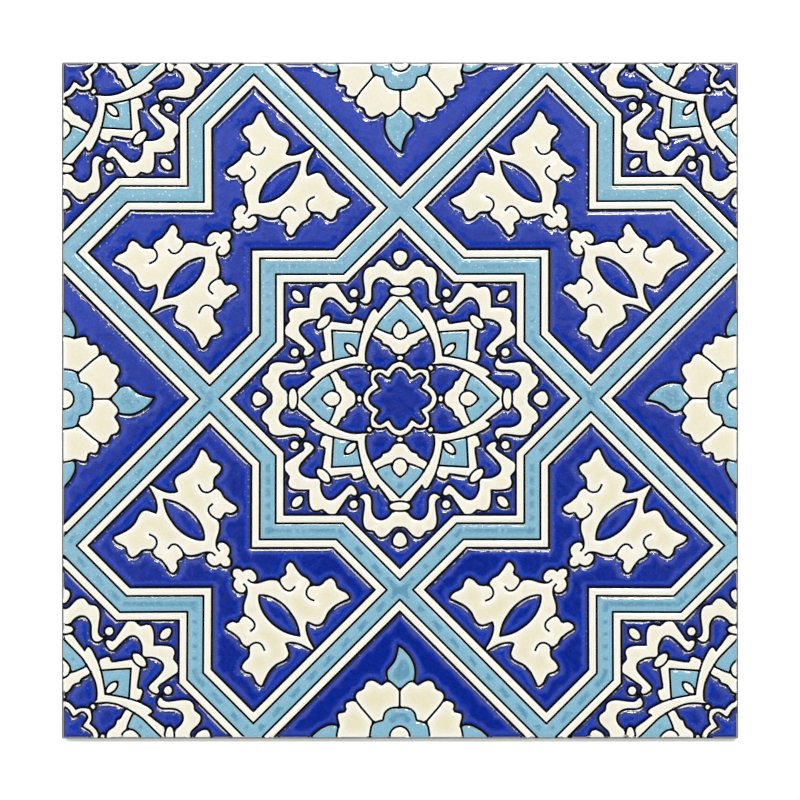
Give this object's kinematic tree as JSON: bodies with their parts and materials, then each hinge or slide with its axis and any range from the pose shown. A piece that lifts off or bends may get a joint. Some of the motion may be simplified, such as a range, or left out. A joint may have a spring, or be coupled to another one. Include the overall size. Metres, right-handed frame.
{
  "type": "ornamental cross tile",
  "caption": "Square glazed ceramic wall tile with raised star-and-cross strapwork and arabesque scrolls between dark unglazed lines.",
  "frame": {"origin": "middle of the back, in the plane of the back ribs", "axes": "+Z out of the glazed face, +X along the right-hand way of the lower edge, +Y towards the upper edge of the pattern"},
  "size_m": [0.2, 0.2, 0.008],
  "materials": {
    "tile": "glossy cobalt, turquoise and cream glaze over a pale fired clay body"
  },
  "bodies": {
    "root": {"tile": "tile"}
  },
  "joints": []
}
